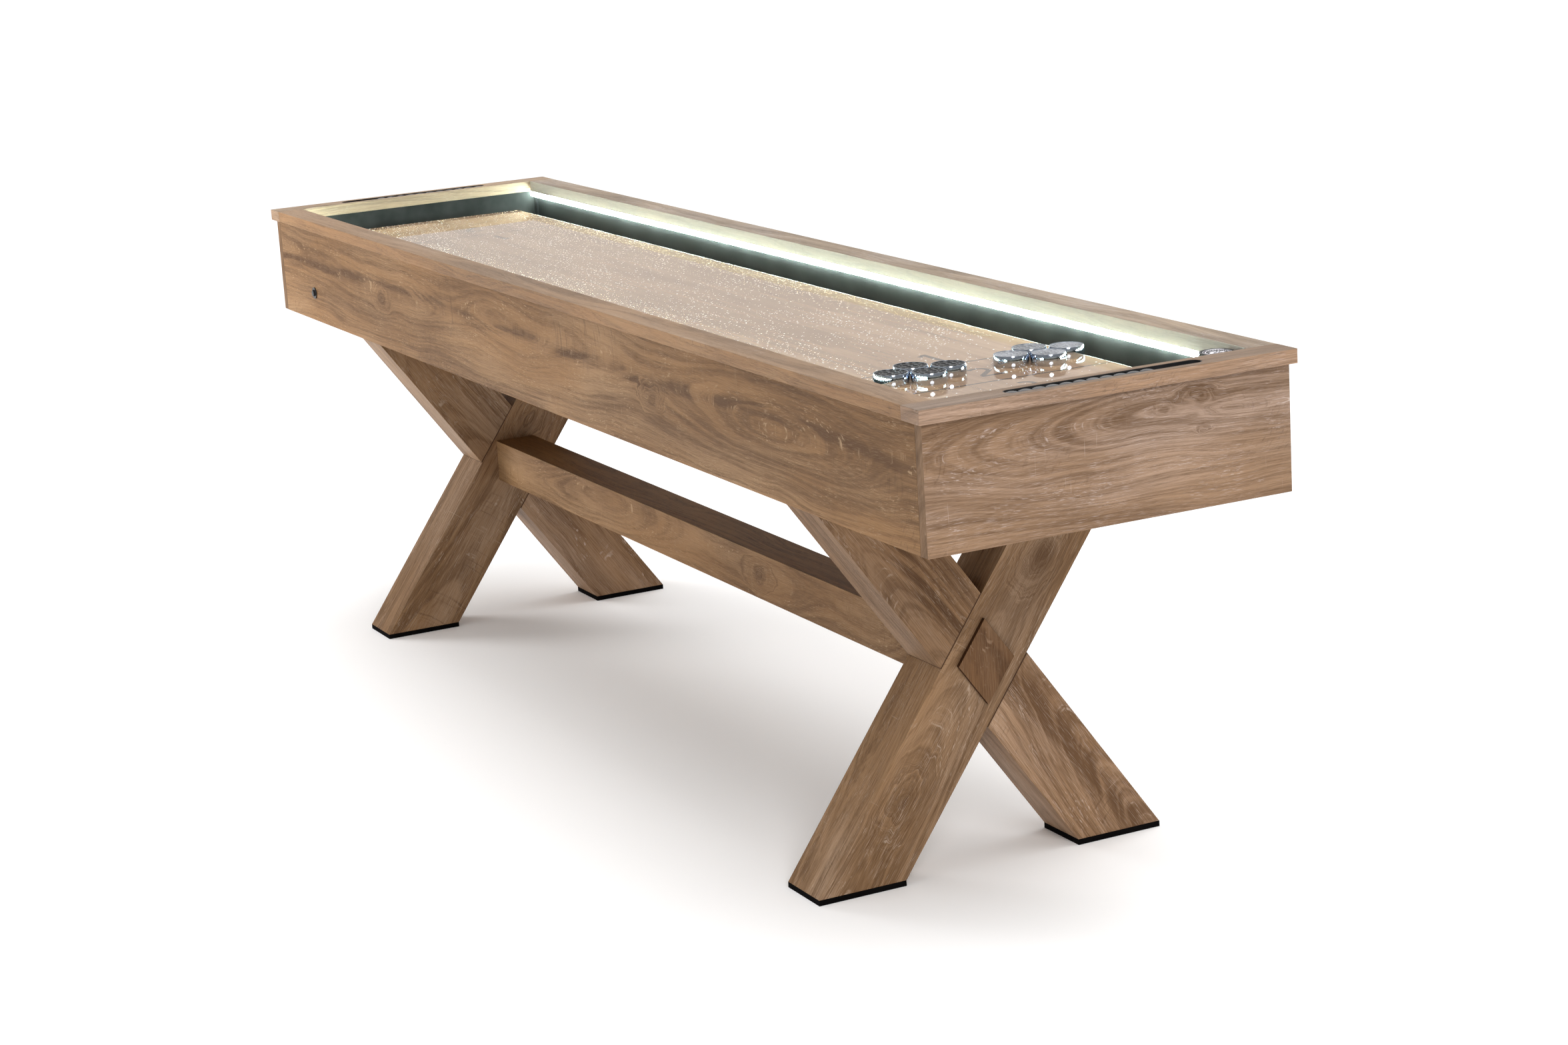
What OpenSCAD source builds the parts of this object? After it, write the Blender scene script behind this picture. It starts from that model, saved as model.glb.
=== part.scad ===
// Nine-foot shuffleboard table on two X-shaped trestles, with its scorers, edge lights and pucks.
// Millimetres, +Z up. The origin is on the floor under the middle of the table. +X is the near end,
// -X the far end, -Y the front long side.

/* [Table] */
// Length over the end caps
table_l = 2743; // [2600:1:2900]
// Width over the side caps
table_w = 610; // [590:1:640]
// Height from the floor to the top of the caps
table_h = 816; // [790:1:850]

/* [Cabinet] */
// Width of a cap board, seen from above
cap_w = 50; // [48:1:54]
// Thickness of a cap board
cap_t = 21; // [20:1:25]
// How far the side caps stand out past the side panels
cap_lip_side = 8; // [4:1:12]
// How far the end caps stand out past the end panels
cap_lip_end = 9; // [4:1:12]
// Height of the cabinet panels
panel_h = 186; // [170:1:200]
// Thickness of the cabinet panels
panel_t = 20; // [18:1:22]
// Thickness of the black boards that line the long sides of the well
side_liner_t = 14; // [12:1:15]
// Thickness of the black boards that line the ends of the well
end_liner_t = 17; // [15:1:18]

/* [Playfield] */
// Length of the raised playing board
play_l = 2424; // [2300:1:2480]
// Width of the raised playing board
play_w = 362; // [340:1:380]
// Thickness of the playing board
play_t = 32; // [28:1:36]
// Drop from the top of the caps to the playing surface
play_drop = 42; // [38:1:48]
// Height of the bearers under the playing board, which is the depth of the gutters below it
bearer_h = 24; // [20:1:28]

/* [Trestles] */
// Distance from the middle of the table to the outer face of a trestle
trestle_x = 980; // [900:1:1000]
// Width of a leg, across its slope
leg_w = 121; // [100:1:125]
// Thickness of a leg, along the table
leg_t = 102; // [90:1:110]
// Half the distance between the middles of a trestle's two feet
foot_y = 227; // [215:1:230]
// Height at which the legs cross
cross_z = 326; // [310:1:340]
// Thickness of a foot pad
pad_t = 9; // [6:1:12]
// Width and height of the square stretcher
stretcher_w = 80; // [70:1:84]
// Thickness of the diamond cover plates
diamond_t = 7.5; // [5:0.5:9]
// Size of a diamond plate as a share of the crossing
diamond_share = 0.65; // [0.55:0.01:0.75]

/* [Scorers] */
// Length of the slot in each end cap
slot_l = 318; // [312:1:330]
// Width of that slot
slot_w = 25; // [25:0.5:27]
// Diameter of a scoring bead
bead_d = 21.2; // [20:0.1:21.4]
// Distance from one bead to the next
bead_pitch = 21.7; // [21.6:0.1:21.8]
// Beads on each scorer
bead_count = 11; // [10:1:11]

/* [Pucks] */
// Diameter of a puck
puck_d = 54; // [52:0.5:54]
// Height of a puck
puck_h = 17; // [16:0.5:19]

/* [Lights and button] */
// Height of the light strips, under the side caps
led_h = 12; // [10:1:14]
// Depth of the light strips, out from the liner
led_d = 7.5; // [6:0.5:8]
// Distance from the middle of the table to the near end of the light strips
led_near_x = 1200; // [1100:1:1230]
// Distance of the push button from the middle, towards the far end
button_x = 1156; // [1130:1:1170]
// Height of the push button above the floor
button_z = 666; // [650:1:680]

/* [Hidden] */
$fn = 48;

// Colours
oak = [0.58, 0.44, 0.31];
oak_light = [0.66, 0.52, 0.38];
board_maple = [0.76, 0.68, 0.60];
black = [0.06, 0.06, 0.06];
raw_board = [0.55, 0.45, 0.33];
steel = [0.62, 0.62, 0.64];
chrome = [0.85, 0.86, 0.88];
silver_grey = [0.66, 0.67, 0.70];

// Levels
cap_z = table_h - cap_t;
body_z = cap_z - panel_h;
play_z = table_h - play_drop;
play_base_z = play_z - play_t;
floor_board_t = 12;
gutter_z = play_base_z - bearer_h;
floor_board_z = gutter_z - floor_board_t;
plate_t = 6;
bottom_t = 12;
bottom_z = body_z + plate_t;
frame_z = bottom_z + bottom_t;

// Plan of the cabinet: half sizes
half_l = table_l / 2;
half_w = table_w / 2;
well_x = half_l - cap_w;
well_y = half_w - cap_w;
panel_x = half_l - cap_lip_end;
panel_y = half_w - cap_lip_side;
inner_x = panel_x - panel_t;
inner_y = panel_y - panel_t;
side_liner_y = inner_y - side_liner_t;
end_liner_x = inner_x - end_liner_t;
board_gap = 0.2;

// Legs: the slope is sideways run over rise
trestle_inner_x = trestle_x - leg_t;
trestle_mid_x = trestle_x - leg_t / 2;
leg_slope = foot_y / (cross_z - pad_t);
leg_half = leg_w / 2 * sqrt(1 + leg_slope * leg_slope);
leg_top_y = leg_slope * (body_z - cross_z);
stretcher_bolt_d = 10;
stretcher_bolt_y = 22;
stretcher_bolt_reach = 58;
bolt_head_d = 16;
bolt_head_h = 9;
bolt_clear = 0.3;
barrel_nut_d = 14;
barrel_nut_l = 28;
barrel_nut_inset = 40;

// Fastenings of the trestles to the cabinet
plate_flange = 20;
plate_bolt_d = 8;
plate_bolt_x = leg_t / 2 + plate_flange / 2;
plate_bolt_y = 200;
block_h = 38;
top_screw_d = 8;
top_screw_l = 55;
top_screw_x = 25;

// Scorers
slot_x = half_l - cap_w / 2;
tray_wall = 1.2;
tray_floor = 2;
tray_gap = 0.15;
rod_d = 3;
rod_z = table_h - 9.5;
bead_h = 12;
bead_drop = 0.4;
bead_end_gap = 1;
bead_first_y = -slot_l / 2 + tray_wall + tray_gap + bead_end_gap + bead_d / 2;

// Lights and button
led_wall = 1;
led_far_x = -end_liner_x + 1;
box_size = [80, 90, 42];
box_x = -1200;
hatch = 110;
wire_d = 3.2;
wire_z = 690;
wire_y = side_liner_y - led_d / 2;
wire_drop_x = -1300;
button_hole_d = 16;
button_flange_d = 23;
button_cap_d = 13;
button_flange_t = 2;
button_stand = 3.4;
button_clear = 0.25;

// Badge in the back corner at the near end
badge_d = 52;
badge_x = 1291;
badge_y = 225;
badge_z = table_h - 5;
badge_h = 16;
badge_foot_t = 4;

// Puck layout: the offsets of a group of four from its middle, touching in a rhombus
puck_step_x = 28;
puck_step_y = 48;
puck_group_x = 999;
puck_group_y = 101;
puck_shift_y = 5.5;     // both groups stand a little towards the back
puck_bulge_r = 28;      // radius of the barrel-shaped side, in section
puck_offsets = [[0, -puck_step_y], [-puck_step_x, 0], [puck_step_x, 0], [0, puck_step_y]];
cap_recess_d = 49;
cap_recess_h = 4;
cap_fit = 0.3;

// A box given by its lowest and highest corners
module span(lo, hi) {
    translate(lo) cube(hi - lo);
}

// Draws its children at the near end and, turned half round, at the far end
module both_ends() {
    children();
    rotate([0, 0, 180]) children();
}

// Draws its children at the front and, mirrored, at the back
module both_sides() {
    children();
    mirror([0, 1, 0]) children();
}

// A slot outline with round ends, long along Y
module slot_outline(l, w) {
    translate([0, -(l - w) / 2]) circle(d = w);
    translate([0, (l - w) / 2]) circle(d = w);
    square([w, l - w], center = true);
}

// A prism along X, from x0 over t, with its outline given as [y, z] points
module prism_x(x0, t, outline) {
    translate([x0, 0, 0]) rotate([90, 0, 90]) linear_extrude(t) polygon(outline);
}

// ---- Cabinet ----

module side_panel() {
    span([-inner_x, -panel_y, body_z], [inner_x, -inner_y, cap_z]);
}

module side_panel_front() {
    color(oak) difference() {
        side_panel();
        translate([-button_x, -panel_y - 1, button_z]) rotate([-90, 0, 0])
            cylinder(d = button_hole_d, h = panel_t + 2);
    }
}

module side_panel_back() {
    color(oak) mirror([0, 1, 0]) side_panel();
}

module end_panel() {
    span([inner_x, -panel_y, body_z], [panel_x, panel_y, cap_z]);
}

module end_panel_near() {
    color(oak) end_panel();
}

module end_panel_far() {
    color(oak) rotate([0, 0, 180]) end_panel();
}

module side_cap() {
    span([-well_x, -half_w, cap_z], [well_x, -well_y, table_h]);
}

module cap_front() {
    color(oak_light) side_cap();
}

module cap_back() {
    color(oak_light) mirror([0, 1, 0]) side_cap();
}

module end_cap() {
    difference() {
        span([well_x, -half_w, cap_z], [half_l, half_w, table_h]);
        translate([slot_x, 0, cap_z - 1]) linear_extrude(cap_t + 2) slot_outline(slot_l, slot_w);
    }
}

module cap_near() {
    color(oak_light) end_cap();
}

module cap_far() {
    color(oak_light) rotate([0, 0, 180]) end_cap();
}

module side_liner() {
    span([-inner_x, -inner_y, gutter_z], [inner_x, -side_liner_y, cap_z]);
}

module liner_front() {
    color(black) side_liner();
}

module liner_back() {
    color(black) mirror([0, 1, 0]) side_liner();
}

module end_liner() {
    span([end_liner_x, -side_liner_y, gutter_z], [inner_x, side_liner_y, cap_z]);
}

module liner_near() {
    color(black) end_liner();
}

module liner_far() {
    color(black) rotate([0, 0, 180]) end_liner();
}

module gutter_floor() {
    color(black) difference() {
        span([-inner_x, -inner_y, floor_board_z], [inner_x, inner_y, gutter_z]);
        for (side = [-1, 1]) translate([wire_drop_x, side * wire_y, floor_board_z - 1])
            cylinder(d = wire_d + 2, h = floor_board_t + 2);
    }
}

module playfield() {
    color(board_maple)
        span([-play_l / 2, -play_w / 2, play_base_z], [play_l / 2, play_w / 2, play_z]);
}

module playfield_bearers() {
    bearer_w = 45;
    bearer_inset = 30;
    color(black) both_sides()
        span([-play_l / 2 + bearer_inset, -play_w / 2 + bearer_inset, gutter_z],
             [play_l / 2 - bearer_inset, -play_w / 2 + bearer_inset + bearer_w, play_base_z]);
}

module cross_members() {
    member_t = 20;
    spacing = 540;
    color(raw_board) for (i = [-2:2])
        span([i * spacing - member_t / 2, -inner_y, frame_z],
             [i * spacing + member_t / 2, inner_y, floor_board_z]);
}

module corner_cleats() {
    cleat = 30;
    color(raw_board) both_ends() both_sides()
        span([inner_x - cleat, -inner_y, frame_z], [inner_x, -inner_y + cleat, floor_board_z]);
}

module plate_bolt_places() {
    both_ends() for (x = [-1, 1], y = [-1, 1])
        translate([trestle_mid_x + x * plate_bolt_x, y * plate_bolt_y, 0]) children();
}

module top_screw_places() {
    both_ends() for (x = [-1, 1], y = [-1, 1])
        translate([trestle_mid_x + x * top_screw_x, y * leg_top_y, 0]) children();
}

module bottom_panel() {
    color(raw_board) difference() {
        span([-inner_x, -inner_y, bottom_z], [inner_x, inner_y, frame_z]);
        plate_bolt_places() translate([0, 0, bottom_z - 1])
            cylinder(d = plate_bolt_d + bolt_clear, h = bottom_t + 2);
        translate([box_x - hatch / 2, -hatch / 2, bottom_z - 1]) cube([hatch, hatch, bottom_t + 2]);
    }
}

module leg_mount_blocks() {
    block_w = leg_t + 2 * plate_flange + 20;
    color(raw_board) difference() {
        both_ends() span([trestle_mid_x - block_w / 2, -inner_y, frame_z],
                         [trestle_mid_x + block_w / 2, inner_y, frame_z + block_h]);
        plate_bolt_places() translate([0, 0, frame_z - 1])
            cylinder(d = plate_bolt_d + bolt_clear, h = block_h + 2);
    }
}

// ---- Trestles ----

module leg_plates() {
    plate_y = inner_y - 7;
    color(black) difference() {
        both_ends() span([trestle_inner_x - plate_flange, -plate_y, body_z],
                         [trestle_x + plate_flange, plate_y, body_z + plate_t]);
        plate_bolt_places() translate([0, 0, body_z - 1])
            cylinder(d = plate_bolt_d + bolt_clear, h = plate_t + 2);
        top_screw_places() translate([0, 0, body_z - 1])
            cylinder(d = top_screw_d + bolt_clear, h = plate_t + 2);
        top_screw_places() translate([0, 0, body_z + plate_t - 3.5]) cylinder(d = 14.6, h = 4);
    }
}

module leg_plate_bolts() {
    color(steel) plate_bolt_places() {
        translate([0, 0, body_z - 6]) cylinder(d = 15, h = 6, $fn = 6);
        translate([0, 0, body_z - 1]) cylinder(d = plate_bolt_d, h = 42);
    }
}

module leg_top_screws() {
    color(steel) top_screw_places() {
        translate([0, 0, body_z + plate_t - 3.5]) cylinder(d = 14, h = 3.5);
        translate([0, 0, body_z - top_screw_l]) cylinder(d = top_screw_d, h = top_screw_l + 3);
    }
}

module top_screw_bores() {
    top_screw_places() translate([0, 0, body_z - top_screw_l - 2])
        cylinder(d = top_screw_d + bolt_clear, h = top_screw_l + 3);
}

// Middle line of the long leg, which rises towards the back
function leg_mid(z) = leg_slope * (z - cross_z);

function long_leg_outline() = [
    [leg_mid(pad_t) - leg_half, pad_t], [leg_mid(pad_t) + leg_half, pad_t],
    [leg_mid(body_z) + leg_half, body_z], [leg_mid(body_z) - leg_half, body_z]];

// The other leg is in two halves that butt against the long one
function upper_leg_outline() = [
    [-leg_half, cross_z], [0, cross_z + leg_half / leg_slope],
    [-leg_mid(body_z) + leg_half, body_z], [-leg_mid(body_z) - leg_half, body_z]];

function lower_leg_outline() = [
    [leg_half, cross_z], [0, cross_z - leg_half / leg_slope],
    [-leg_mid(pad_t) - leg_half, pad_t], [-leg_mid(pad_t) + leg_half, pad_t]];

// Holes through the crossing for the two bolts that hold the stretcher, for the near trestle
module stretcher_bolt_bores() {
    for (y = [-1, 1]) translate([0, y * stretcher_bolt_y, cross_z]) rotate([0, 90, 0]) {
        translate([0, 0, trestle_inner_x - 1]) cylinder(d = stretcher_bolt_d + bolt_clear, h = leg_t + 2);
        translate([0, 0, trestle_x - bolt_head_h - 1]) cylinder(d = bolt_head_d + 2, h = bolt_head_h + 2);
    }
}

// side is +1 for the near trestle and -1 for the far one: both have the same face to the front
module long_leg(side) {
    difference() {
        prism_x(side > 0 ? trestle_inner_x : -trestle_x, leg_t, long_leg_outline());
        mirror([side > 0 ? 0 : 1, 0, 0]) stretcher_bolt_bores();
        top_screw_bores();
    }
}

module upper_leg(side) {
    difference() {
        prism_x(side > 0 ? trestle_inner_x : -trestle_x, leg_t, upper_leg_outline());
        top_screw_bores();
    }
}

module lower_leg(side) {
    prism_x(side > 0 ? trestle_inner_x : -trestle_x, leg_t, lower_leg_outline());
}

module long_leg_near() {
    color(oak) long_leg(1);
}

module long_leg_far() {
    color(oak) long_leg(-1);
}

module upper_leg_near() {
    color(oak) upper_leg(1);
}

module upper_leg_far() {
    color(oak) upper_leg(-1);
}

module lower_leg_near() {
    color(oak) lower_leg(1);
}

module lower_leg_far() {
    color(oak) lower_leg(-1);
}

module diamond_plates() {
    half_y = leg_half * diamond_share;
    half_z = leg_half / leg_slope * diamond_share;
    outline = [[-half_y, cross_z], [0, cross_z - half_z], [half_y, cross_z], [0, cross_z + half_z]];
    color(oak) both_ends() prism_x(trestle_x, diamond_t, outline);
}

module stretcher() {
    half = stretcher_w / 2;
    nut_x = trestle_inner_x - barrel_nut_inset;
    color(oak) difference() {
        span([-trestle_inner_x, -half, cross_z - half], [trestle_inner_x, half, cross_z + half]);
        both_ends() for (y = [-1, 1]) {
            translate([trestle_inner_x - stretcher_bolt_reach - 6, y * stretcher_bolt_y, cross_z])
                rotate([0, 90, 0])
                cylinder(d = stretcher_bolt_d + bolt_clear, h = stretcher_bolt_reach + 8);
            translate([nut_x, y * stretcher_bolt_y, cross_z - half - 1])
                cylinder(d = barrel_nut_d + bolt_clear, h = half + barrel_nut_l / 2 + 1.5);
        }
    }
}

module stretcher_bolts() {
    color(steel) both_ends() for (y = [-1, 1])
        translate([0, y * stretcher_bolt_y, cross_z]) rotate([0, 90, 0]) {
            translate([0, 0, trestle_inner_x - stretcher_bolt_reach])
                cylinder(d = stretcher_bolt_d, h = leg_t + stretcher_bolt_reach - bolt_head_h);
            translate([0, 0, trestle_x - bolt_head_h - 0.5]) cylinder(d = bolt_head_d, h = bolt_head_h);
        }
}

module barrel_nuts() {
    nut_x = trestle_inner_x - barrel_nut_inset;
    color(steel) both_ends() for (y = [-1, 1]) difference() {
        translate([nut_x, y * stretcher_bolt_y, cross_z])
            cylinder(d = barrel_nut_d, h = barrel_nut_l, center = true);
        translate([nut_x - barrel_nut_d, y * stretcher_bolt_y, cross_z]) rotate([0, 90, 0])
            cylinder(d = stretcher_bolt_d + bolt_clear, h = 2 * barrel_nut_d);
    }
}

module foot_pads() {
    foot_mid = leg_mid(pad_t);
    color(black) both_ends() both_sides()
        span([trestle_inner_x, foot_mid - leg_half, 0], [trestle_x, foot_mid + leg_half, pad_t]);
}

// ---- Lights and button ----

// Aluminium angle: a back strip on the liner and a top strip under the cap
module led_channels() {
    color(steel) both_sides() {
        span([led_far_x, -side_liner_y, cap_z - led_h],
             [led_near_x, -side_liner_y + led_wall, cap_z]);
        span([led_far_x, -side_liner_y + led_wall, cap_z - led_wall],
             [led_near_x, -side_liner_y + led_d, cap_z]);
    }
}

// Milky cover clipped into the angle, with its lower inner corner rounded
module led_diffusers() {
    w = led_d - led_wall;
    h = led_h - led_wall;
    round_r = 4;
    color("white") both_sides() translate([led_far_x, -side_liner_y + led_wall, cap_z - led_h])
        rotate([90, 0, 90]) linear_extrude(led_near_x - led_far_x) {
            square([w - round_r, h]);
            translate([0, round_r]) square([w, h - round_r]);
            translate([w - round_r, 0]) intersection() {
                translate([0, round_r]) circle(r = round_r);
                square(round_r);
            }
        }
}

module led_battery_box() {
    color(black) translate([box_x, 0, floor_board_z - box_size[2] / 2]) cube(box_size, center = true);
}

// One length of wire between two points
module wire_run(a, b) {
    d = b - a;
    len = norm(d);
    translate(a) rotate([0, acos(d[2] / len), atan2(d[1], d[0])]) cylinder(d = wire_d, h = len);
}

// A wire through a list of points, with a round knuckle at each bend
module wire(points) {
    for (i = [0:len(points) - 2]) wire_run(points[i], points[i + 1]);
    for (i = [1:len(points) - 2]) translate(points[i]) sphere(d = wire_d, $fn = 24);
}

module led_wiring() {
    box_edge_x = box_x - box_size[0] / 2;
    box_side_y = box_size[1] / 2;
    button_back = -inner_y + 12;
    color(black) {
        for (side = [-1, 1]) wire([[wire_drop_x, side * wire_y, cap_z - led_h],
                                   [wire_drop_x, side * wire_y, wire_z],
                                   [wire_drop_x, side * 30, wire_z],
                                   [box_edge_x, side * 30, wire_z]]);
        wire([[-button_x, button_back, button_z], [-button_x, -200, button_z],
              [-button_x, -200, wire_z], [box_x, -200, wire_z], [box_x, -box_side_y, wire_z]]);
    }
}

// Flange and threaded barrel of the push button, with a well for its cap
module button_housing() {
    well_depth = 8;
    barrel_l = panel_t + 12;
    color(black) translate([-button_x, -panel_y, button_z]) rotate([-90, 0, 0]) difference() {
        union() {
            translate([0, 0, -button_flange_t]) cylinder(d = button_flange_d, h = button_flange_t);
            translate([0, 0, -0.5]) cylinder(d = button_hole_d - bolt_clear, h = barrel_l + 0.5);
            translate([0, 0, panel_t]) cylinder(d = 22, h = 4, $fn = 6);
        }
        translate([0, 0, -button_flange_t - 1])
            cylinder(d = button_cap_d + 2 * button_clear, h = well_depth + button_flange_t + 1);
    }
}

module button_cap() {
    inside = 4;
    color(black) translate([-button_x, -panel_y + inside, button_z]) rotate([90, 0, 0])
        rotate_extrude() polygon([[0, 0], [button_cap_d / 2, 0],
            [button_cap_d / 2, inside + button_flange_t + button_stand - 1],
            [button_cap_d / 2 - 1, inside + button_flange_t + button_stand],
            [0, inside + button_flange_t + button_stand]]);
}

// Round badge in a cup, on a foot that reaches both liners
module corner_badge() {
    cup_wall = 3;
    inlay_drop = 1;
    color(steel) {
        difference() {
            translate([badge_x, badge_y, badge_z - badge_h]) cylinder(d = badge_d, h = badge_h);
            translate([badge_x, badge_y, badge_z - inlay_drop])
                cylinder(d = badge_d - 2 * cup_wall, h = inlay_drop + 1);
        }
        span([badge_x - badge_d / 2, badge_y - badge_d / 2, badge_z - badge_h - badge_foot_t],
             [end_liner_x - board_gap, side_liner_y - board_gap, badge_z - badge_h]);
    }
}

// ---- Scorers ----

module scorer_tray() {
    outer_l = slot_l - 2 * tray_gap;
    outer_w = slot_w - 2 * tray_gap;
    translate([slot_x, 0, cap_z]) difference() {
        linear_extrude(cap_t - 0.3) slot_outline(outer_l, outer_w);
        translate([0, 0, tray_floor]) linear_extrude(cap_t)
            slot_outline(outer_l - 2 * tray_wall, outer_w - 2 * tray_wall);
        translate([0, 0, rod_z - cap_z]) rotate([90, 0, 0])
            cylinder(d = rod_d + bolt_clear, h = slot_l, center = true);
    }
}

module scorer_trays() {
    color(black) both_ends() scorer_tray();
}

module scorer_rods() {
    rod_l = slot_l - 2 * tray_gap;
    color(steel) both_ends() translate([slot_x, 0, rod_z]) rotate([90, 0, 0])
        cylinder(d = rod_d, h = rod_l - 0.4, center = true);
}

// A round bead with a domed top, bored across for the rod
module bead() {
    r = bead_d / 2;
    dome = 2.2;
    top = table_h - bead_drop;
    dome_r = (r * r + dome * dome) / (2 * dome);
    difference() {
        translate([0, 0, top - bead_h]) rotate_extrude() difference() {
            intersection() {
                square([r, bead_h]);
                translate([0, bead_h - dome_r]) circle(r = dome_r, $fn = 96);
            }
            polygon([[r - 1, -0.01], [r + 1, -0.01], [r + 1, 1.99]]);
        }
        translate([0, 0, rod_z]) rotate([90, 0, 0])
            cylinder(d = rod_d + 2 * bolt_clear, h = bead_d + 2, center = true);
    }
}

module bead_row() {
    for (i = [0:bead_count - 1]) translate([slot_x, bead_first_y + i * bead_pitch, 0]) bead();
}

module scorer_beads_near() {
    color(silver_grey) bead_row();
}

module scorer_beads_far() {
    color(silver_grey) rotate([0, 0, 180]) bead_row();
}

// ---- Pucks ----

function puck_place(team, i) = [puck_group_x + puck_offsets[i][0],
                                (team == "black" ? -1 : 1) * puck_group_y + puck_shift_y + puck_offsets[i][1],
                                play_z];

// Steel weight: a barrel-shaped disc with a recess for the cap and a shallow hollow below
module puck_weight() {
    r = puck_d / 2;
    rim = cap_recess_d / 2;
    rotate_extrude($fn = 96) difference() {
        union() {
            square([rim, puck_h]);
            intersection() {
                translate([r - puck_bulge_r, puck_h / 2]) circle(r = puck_bulge_r);
                translate([0, 0]) square([r + 1, puck_h]);
            }
        }
        translate([-1, puck_h - cap_recess_h]) square([rim + 1, cap_recess_h + 1]);
        translate([-1, -1]) square([rim - 4, 1.6]);
    }
}

// Plastic cap: a flat disc with a ring groove, a ring of pockets and four middle pockets
module puck_cap() {
    r = cap_recess_d / 2 - cap_fit / 2;
    t = cap_recess_h - 0.6;
    depth = 0.8;
    difference() {
        translate([0, 0, puck_h - cap_recess_h]) cylinder(r = r, h = t, $fn = 96);
        translate([0, 0, puck_h - cap_recess_h + t - depth]) {
            difference() {
                cylinder(r = 15.2, h = depth + 1);
                translate([0, 0, -1]) cylinder(r = 13.6, h = depth + 3);
            }
            for (i = [0:11]) rotate(i * 30) translate([19.7, 0, 0]) cylinder(r = 2.8, h = depth + 1, $fn = 24);
            for (i = [0:3]) rotate(i * 90 + 45) translate([7.6, 0, 0]) cylinder(r = 3.8, h = depth + 1, $fn = 24);
        }
    }
}

module puck(team, i) {
    color(chrome) translate(puck_place(team, i)) puck_weight();
}

module cap_of(team, i) {
    color(team == "black" ? black : silver_grey) translate(puck_place(team, i)) puck_cap();
}

side_panel_front();
side_panel_back();
end_panel_near();
end_panel_far();
cap_front();
cap_back();
cap_near();
cap_far();
liner_front();
liner_back();
liner_near();
liner_far();
gutter_floor();
playfield();
playfield_bearers();
cross_members();
corner_cleats();
bottom_panel();
leg_mount_blocks();
leg_plates();
leg_plate_bolts();
leg_top_screws();
long_leg_near();
long_leg_far();
upper_leg_near();
upper_leg_far();
lower_leg_near();
lower_leg_far();
diamond_plates();
stretcher();
stretcher_bolts();
barrel_nuts();
foot_pads();
led_channels();
led_diffusers();
led_battery_box();
led_wiring();
button_housing();
button_cap();
corner_badge();
scorer_trays();
scorer_rods();
scorer_beads_near();
scorer_beads_far();
for (team = ["black", "silver"], i = [0:3]) {
    puck(team, i);
    cap_of(team, i);
}
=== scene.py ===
"""Looks of the shuffleboard table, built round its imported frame. Metres, +X to the near end, +Z up."""

import math

import bmesh
import bpy
from mathutils import Euler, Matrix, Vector


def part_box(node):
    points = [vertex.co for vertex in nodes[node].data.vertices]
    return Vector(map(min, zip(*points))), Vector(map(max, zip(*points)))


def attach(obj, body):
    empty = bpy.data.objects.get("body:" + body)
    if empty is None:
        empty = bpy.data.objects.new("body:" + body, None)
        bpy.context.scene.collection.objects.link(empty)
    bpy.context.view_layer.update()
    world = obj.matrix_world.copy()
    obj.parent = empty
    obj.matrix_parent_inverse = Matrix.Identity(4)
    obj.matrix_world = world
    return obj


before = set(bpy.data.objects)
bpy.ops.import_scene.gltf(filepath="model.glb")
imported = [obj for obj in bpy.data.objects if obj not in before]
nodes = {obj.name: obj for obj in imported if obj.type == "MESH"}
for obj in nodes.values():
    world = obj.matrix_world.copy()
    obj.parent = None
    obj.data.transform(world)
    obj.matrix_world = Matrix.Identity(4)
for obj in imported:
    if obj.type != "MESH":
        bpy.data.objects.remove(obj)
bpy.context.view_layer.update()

X, Y, Z = Vector((1, 0, 0)), Vector((0, 1, 0)), Vector((0, 0, 1))
LEG_LEAN = math.radians(35.6)  # of each leg from the vertical
LEG_HALF_WIDTH = 0.0605
LEG_UP_BACK = Vector((0, math.sin(LEG_LEAN), math.cos(LEG_LEAN)))
LEG_UP_FRONT = Vector((0, -math.sin(LEG_LEAN), math.cos(LEG_LEAN)))

# Colours, linear
OAK_LIGHT = (0.365, 0.215, 0.108)
OAK_DARK = (0.118, 0.060, 0.025)
CAP_LIGHT = (0.46, 0.27, 0.135)
CAP_DARK = (0.17, 0.092, 0.040)
LIME_WHITE = (0.62, 0.48, 0.36)
PORE_BROWN = (0.055, 0.025, 0.011)
LIP_PAINTED_LIGHT = (0.43, 0.41, 0.37)  # painted light: the pale that the light strips cast on the inner edges of the caps
FIELD_LIGHT = (0.42, 0.275, 0.170)
FIELD_DARK = (0.25, 0.152, 0.088)
FIELD_INK = (0.030, 0.026, 0.022)
WAX_WHITE = (0.95, 0.94, 0.90)
STRIP, STRIP_STRENGTH = (0.76, 1.0, 0.95), 90.0  # the light of the strips


def middle(node):
    low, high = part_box(node)
    return (low + high) / 2


# ---------------------------------------------------------------- shader nodes

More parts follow.
